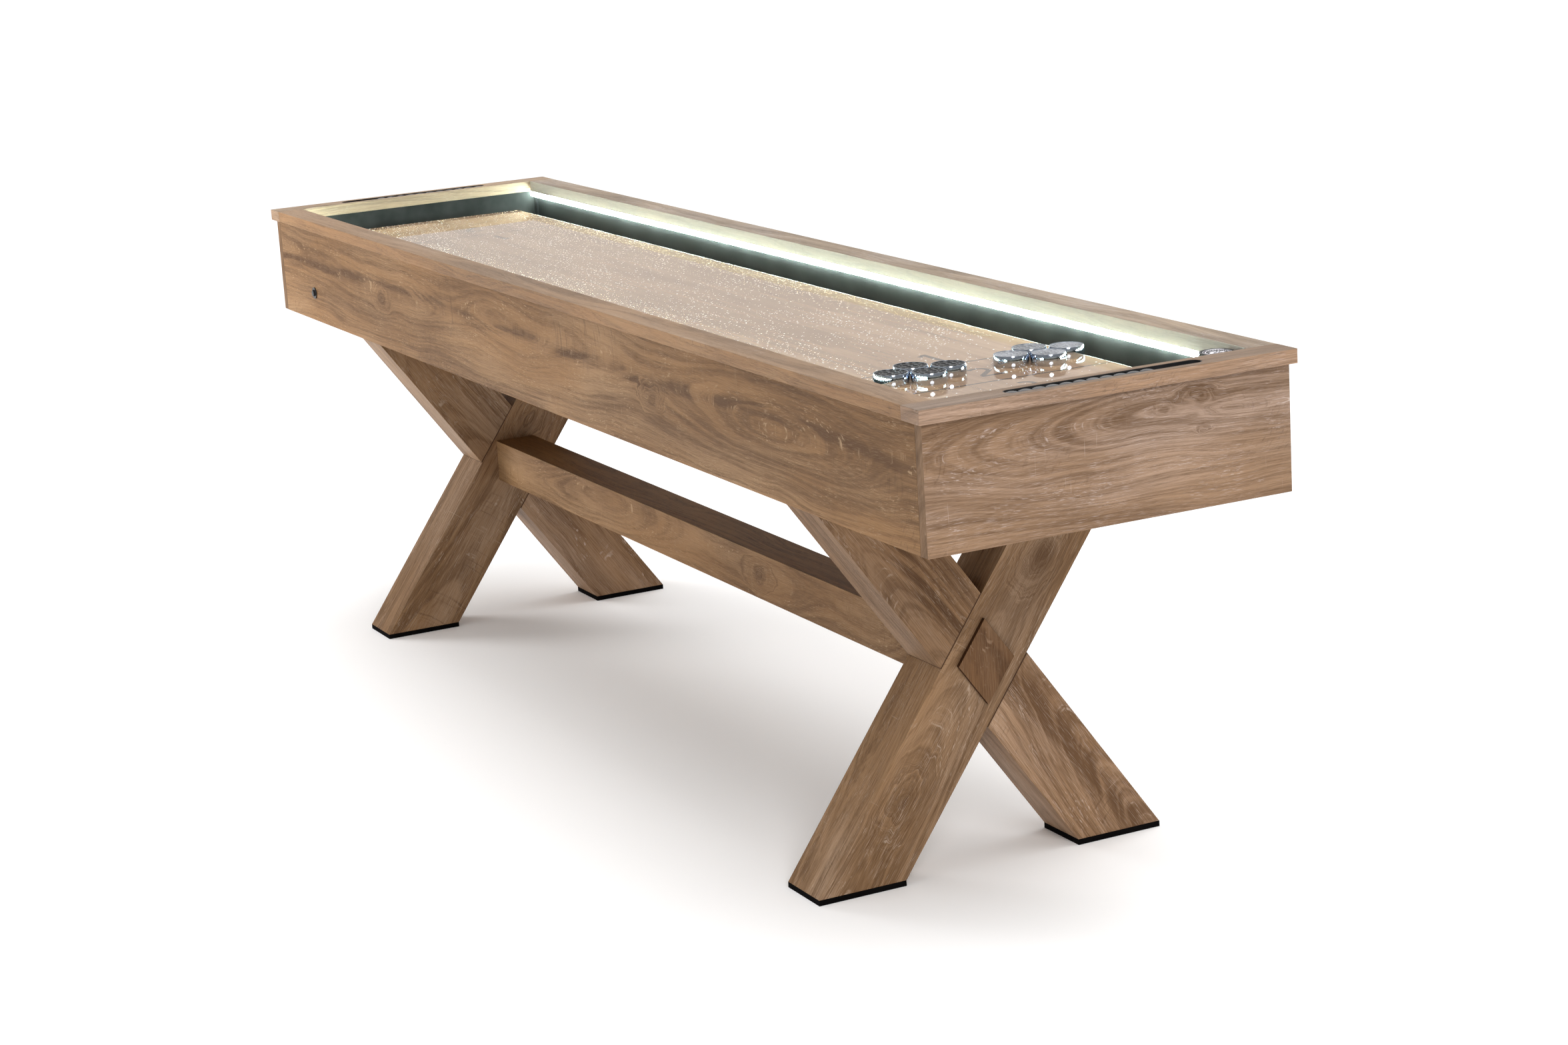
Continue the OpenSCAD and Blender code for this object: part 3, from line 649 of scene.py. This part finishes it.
board("side_panel_front", X, Z, 31, SIDE, streak=SIDE_STREAK, heart=(0.03, 0.05, 0.01),
      knot_a=(0.485, 0.0, 0.014), knot_b=(-0.75, 0.0, 0.014))
board("side_panel_back", X, Z, 2, SIDE, streak=SIDE_STREAK, heart=(0.02, 0.05, 0.02),
      knot_a=(-0.31, -0.01, 0.028))
board("end_panel_near", Y, Z, 3, END, rim_tint=END_RIM, heart=(0.045, 0.03, -0.12),
      knot_a=(0.148, 0.072, 0.014), knot_b=(0.145, 0.018, 0.004))
board("end_panel_far", Y, Z, 4, END, rim_tint=END_RIM, heart=(-0.02, 0.04, 0.1),
      knot_a=(-0.12, -0.03, 0.02))
board("stretcher", X, Z, 11, SIDE, top_tint=STRETCHER_TOP_SHADE, heart=(0.01, 0.05, 0.02),
      knot_a=(0.3, 0.0, 0.015))
board("diamond_plates", Z, Y, 12, PLATE, rim_tint=PLATE_RIM, heart=(0.05, 0.06, 0.0))

leg("long_leg_near", LEG_UP_BACK, 5, LEG, heart=(0.02, 0.03, 0.05),
    knot_a=(-0.22, 0.01, 0.022), knot_b=(0.20, 0.0, 0.02))
leg("long_leg_far", LEG_UP_BACK, 6, LEG, heart=(0.0, 0.04, 0.05), knot_a=(0.1, 0.02, 0.02))
leg("upper_leg_near", LEG_UP_FRONT, 7, LEG_PAINTED_SHADE, seam=True, heart=(0.02, 0.05, 0.05),
    streak=(-0.03, 0.014, 0.8))
leg("upper_leg_far", LEG_UP_FRONT, 8, LEG, seam=True, heart=(0.02, 0.05, 0.05))
leg("lower_leg_near", LEG_UP_FRONT, 9, LEG_PAINTED_LIGHT, seam=True, heart=(-0.03, 0.04, 0.06),
    streak=(0.015, 0.018, 0.9))
leg("lower_leg_far", LEG_UP_FRONT, 10, LEG_PAINTED_LIGHT, seam=True, heart=(0.02, 0.05, 0.05))

# Painted sheen: the top tints pale and cool the tops of the front, back and far caps as reflected light
# would; the near cap's top is made darker and cooler.
cap("cap_front", X, Y, 57, (0.82, 0.70, 0.49), top_tint=(0.94, 1.15, 1.8), lip=0.6)
cap("cap_back", X, Y, 22, (1.04, 1.13, 1.27), top_tint=(0.88, 1.03, 1.28), lip=0.6)
cap("cap_near", Y, X, 23, (0.84, 0.86, 1.0), top_tint=(0.68, 0.73, 0.77), lip=0.6)
cap("cap_far", Y, X, 24, (0.97, 0.99, 1.04), top_tint=(0.95, 1.05, 1.18), lip=0.15)

black_plastic = speckled("black_plastic", (0.012, 0.012, 0.013), 0.33, 1800)
silver_plastic = speckled("silver_plastic", (0.17, 0.165, 0.165), 0.25, 1800, Metallic=0.7)
silver_cap = speckled("silver_cap", (0.42, 0.43, 0.46), 0.34, 1800, Metallic=0.5)
chrome = metal("puck_chrome", (0.57, 0.63, 0.72), 0.10, (300.0, 300.0, 300.0))
PLAIN = (  # material, and the nodes that have it
    (speckled("black_board", (0.0230, 0.0228, 0.0212), 0.60, 700, Specular_IOR_Level=0.10),
     "liner_front liner_back liner_near liner_far gutter_floor playfield_bearers"),
    (speckled("raw_board", (0.26, 0.17, 0.10), 0.8, 900, 0.00008, variation=0.10),
     "cross_members corner_cleats bottom_panel leg_mount_blocks"),
    (metal("zinc_steel", (0.60, 0.60, 0.62), 0.3),
     "leg_plate_bolts leg_top_screws stretcher_bolts barrel_nuts scorer_rods"),
    (speckled("black_steel", (0.018, 0.018, 0.018), 0.45, 1500), "leg_plates"),
    (speckled("foot_rubber", (0.002, 0.0015, 0.0015), 0.85, 1200, variation=0.1, Specular_IOR_Level=0.05),
     "foot_pads"),
    (metal("aluminium_angle", (0.78, 0.78, 0.79), 0.35), "led_channels"),
    (light_cover("led_diffuser", STRIP_STRENGTH), "led_diffusers"),
    (black_plastic, "led_battery_box led_wiring button_housing scorer_trays button_cap"),
    # Painted shade: the corner disc's metal is made dark for the shade of the corner it sits in.
    (speckled("badge_metal_shaded", (0.020, 0.019, 0.018), 0.30, 1500, Metallic=0.5), "corner_badge"),
    (silver_plastic, "scorer_beads_near scorer_beads_far"),
)
for material, names in PLAIN:
    for node in names.split():
        dress(node, material)
dress("playfield", playfield_material(), FIELD_EDGE, 4)
for team, cap_material in (("black", black_plastic), ("silver", silver_cap)):
    for number in range(1, 5):
        dress(f"puck_{team}_{number}", chrome)
        dress(f"puck_cap_{team}_{number}", cap_material)


# ---------------------------------------------------------------- corner disc's inlay

BADGE_RADIUS = 0.026
BADGE_RECESS = 0.001  # depth of the inlay's ground below the disc's rim
INLAY_LIFT = 0.00005  # of the inlay off that ground
RING_PROFILE = (  # radius and height, as in the other profiles
    (0.0196, 0), (0.0196, 0.0006), (0.0200, 0.0009), (0.0214, 0.0009), (0.0218, 0.0006), (0.0218, 0),
)
BEAD_PROFILE = ((0.0001, 0), (0.0001, 0.0007), (0.0007, 0.0006), (0.0011, 0.0003), (0.0012, 0))
BOSS_PROFILE = ((0.0001, 0), (0.0001, 0.0009), (0.0020, 0.0008), (0.0029, 0.0004), (0.0031, 0))
BEADS, BEAD_CIRCLE = 28, 0.0172
PETALS, PETAL_CIRCLE = 8, 0.0088
PETAL_HALF_LENGTH, PETAL_HALF_WIDTH = 0.0052, 0.0024
PETAL_RISE, PETAL_TOP = 0.0008, 0.72  # height of a petal, and size of its top to its foot


def add_piece(name, mesh, material, body):
    """Puts a finished bmesh in the scene as a piece of one body."""
    bmesh.ops.recalc_face_normals(mesh, faces=mesh.faces)
    data = bpy.data.meshes.new(name)
    mesh.to_mesh(data)
    mesh.free()
    piece = bpy.data.objects.new(name, data)
    bpy.context.collection.objects.link(piece)
    data.materials.append(material)
    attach(piece, body)


def around(count):
    """The angles of evenly spaced directions."""
    return [2 * math.pi * step / count for step in range(count)]


def towards(angle):
    return Vector((math.cos(angle), math.sin(angle), 0))


def turned(mesh, profile, centre, steps=96):
    """Adds a closed profile of (radius, height) points turned about a vertical axis."""
    rings = []
    for radius, height in profile:
        raised = centre + Z * height
        rings.append([mesh.verts.new(raised + towards(angle) * radius) for angle in around(steps)])
    for lower, upper in zip(rings, rings[1:] + rings[:1]):
        for step in range(steps):
            after = (step + 1) % steps
            mesh.faces.new((lower[step], lower[after], upper[after], upper[step]))


def raised_plate(mesh, outline, centre, rise, top):
    """Adds a flat plate with sloping edges, given its outline round a centre."""
    low = [mesh.verts.new(centre + point) for point in outline]
    high = [mesh.verts.new(centre + point * top + Z * rise) for point in outline]
    mesh.faces.new(list(reversed(low)))
    mesh.faces.new(high)
    count = len(outline)
    for i in range(count):
        j = (i + 1) % count
        mesh.faces.new((low[i], low[j], high[j], high[i]))


def medallion():
    """The corner disc's inlay: a beaded ring and a plain eight-petal rosette on a dark ground."""
    low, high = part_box("corner_badge")
    ground = high.z - BADGE_RECESS + INLAY_LIFT
    centre = Vector((low.x + BADGE_RADIUS, low.y + BADGE_RADIUS, ground))
    mesh = bmesh.new()
    turned(mesh, RING_PROFILE, centre)
    for angle in around(BEADS):
        turned(mesh, BEAD_PROFILE, centre + towards(angle) * BEAD_CIRCLE, 16)
    for turn in around(PETALS):
        out, side = towards(turn), towards(turn + math.pi / 2)
        outline = []
        for angle in around(24):
            lengthways, sideways = PETAL_HALF_LENGTH * math.cos(angle), PETAL_HALF_WIDTH * math.sin(angle)
            outline.append(out * lengthways + side * sideways)
        raised_plate(mesh, outline, centre + out * PETAL_CIRCLE, PETAL_RISE, PETAL_TOP)
    turned(mesh, BOSS_PROFILE, centre, 48)
    silver = metal("badge_metal", (0.62, 0.60, 0.63), 0.28)
    add_piece("badge_medallion", mesh, silver, "table")


medallion()


# ---------------------------------------------------------------- studio

FLOOR_SIZE = 1000  # so wide that its edge lies on the horizon; the camera sees as far
FLOOR_WHITE = (0.96, 0.96, 0.96)
BACKDROP = Vector((-0.85, 0.50, 0.22)).normalized()  # the way to the bright part of the surround
BACKDROP_EDGES = (0.50, 0.93)  # cosines to it between which the surround brightens
ROOM_SHADE, BACKDROP_SHADE = 0.25, 0.66
SUN_POWER, SUN_WIDTH = 2.85, math.radians(70)
SUN_TURN = (math.radians(-10), math.radians(6), 0)
GLOW_DROP = 0.006  # of the glow lamps below the strips' top
GLOW_INBOARD = 0.016  # of the glow lamps from the strips' outer faces
GLOW_RISE = 0.020  # of what they light above them
GLOW_WIDTH, GLOW_POWER = 0.004, 0.30
END_GLOW_LENGTH, END_GLOW_INBOARD = 0.5, 0.02
FAR_LIP_X = -1.35
CAMERA_PLACE = (5.0051, -2.2924, 1.6714)
CAMERA_TURN = (76.441, 3.460, 63.068)  # degrees
LENS_MM, SENSOR_MM = 73.37, 36.0


def area_light(name, place, aim, width, height, power, colour=(1, 1, 1), shape="RECTANGLE", mirrored=False):
    data = bpy.data.lights.new(name, "AREA")
    data.shape = shape
    data.size, data.size_y = width, height
    data.energy, data.color = power, colour
    lamp = bpy.data.objects.new(name, data)
    lamp.location = place
    lamp.rotation_euler = (Vector(aim) - Vector(place)).to_track_quat("-Z", "Y").to_euler()
    lamp.visible_camera = False
    lamp.visible_glossy = mirrored
    bpy.context.collection.objects.link(lamp)


def studio():
    """A plain pale floor, a white surround and soft lamps."""
    bpy.ops.mesh.primitive_plane_add(size=FLOOR_SIZE)
    floor = bpy.context.object
    floor.name = "floor"
    material, net, shader = new_material("pale_floor")
    set_inputs(net, shader, Base_Color=FLOOR_WHITE, Roughness=0.8)
    floor.data.materials.append(material)
    bpy.context.scene.world = surround()
    overhead = bpy.data.lights.new("overhead", "SUN")
    overhead.energy, overhead.angle = SUN_POWER, SUN_WIDTH
    sun = bpy.data.objects.new("overhead", overhead)
    sun.rotation_euler = Euler(SUN_TURN)
    bpy.context.collection.objects.link(sun)
    area_light("side_key", (-3.1, -1.8, 1.3), (-0.9, -0.2, 0.6), 1.3, 1.2, 60)
    area_light("end_key", (4.2, -0.8, 2.6), (1.3, 0, 0.5), 1.5, 1.5, 68, shape="DISK", mirrored=True)
    strip_glow()


def strip_glow():
    """Light that leaves the strips sideways and up, on the inner edges of the cap boards."""
    inner_x, inner_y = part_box("led_diffusers")[1].x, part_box("led_diffusers")[1].y
    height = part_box("led_diffusers")[1].z - GLOW_DROP
    lit = height + GLOW_RISE
    for side in (-1, 1):
        place, aim = (0, side * (inner_y - GLOW_INBOARD), height), (0, side * inner_y, lit)
        area_light("strip_glow", place, aim, inner_x * 2, GLOW_WIDTH, GLOW_POWER, STRIP)
    place, aim = (END_GLOW_INBOARD - inner_x, 0, height), (FAR_LIP_X, 0, lit)
    area_light("strip_glow", place, aim, GLOW_WIDTH, END_GLOW_LENGTH, GLOW_POWER, STRIP)


def surround():
    """A dim white room with a bright backdrop low behind the far end."""
    world = bpy.data.worlds.new("surround")
    world.use_nodes = True
    net = Net(world.node_tree)
    direction = net.add("TexCoord").outputs["Generated"]
    towards_it = net.vector("DOT_PRODUCT", direction, BACKDROP)
    shade = net.ramp(towards_it, *BACKDROP_EDGES, ROOM_SHADE, BACKDROP_SHADE)
    background = world.node_tree.nodes["Background"]
    net.feed(background.inputs["Color"], net.combine(shade, shade, shade))
    return world


def camera():
    data = bpy.data.cameras.new("camera")
    data.sensor_width = SENSOR_MM
    data.lens = LENS_MM
    data.clip_end = FLOOR_SIZE
    lens = bpy.data.objects.new("camera", data)
    lens.location = CAMERA_PLACE
    lens.rotation_euler = Euler([math.radians(angle) for angle in CAMERA_TURN])
    bpy.context.collection.objects.link(lens)
    bpy.context.scene.camera = lens


studio()
camera()
bpy.context.scene.view_settings.view_transform = "Standard"
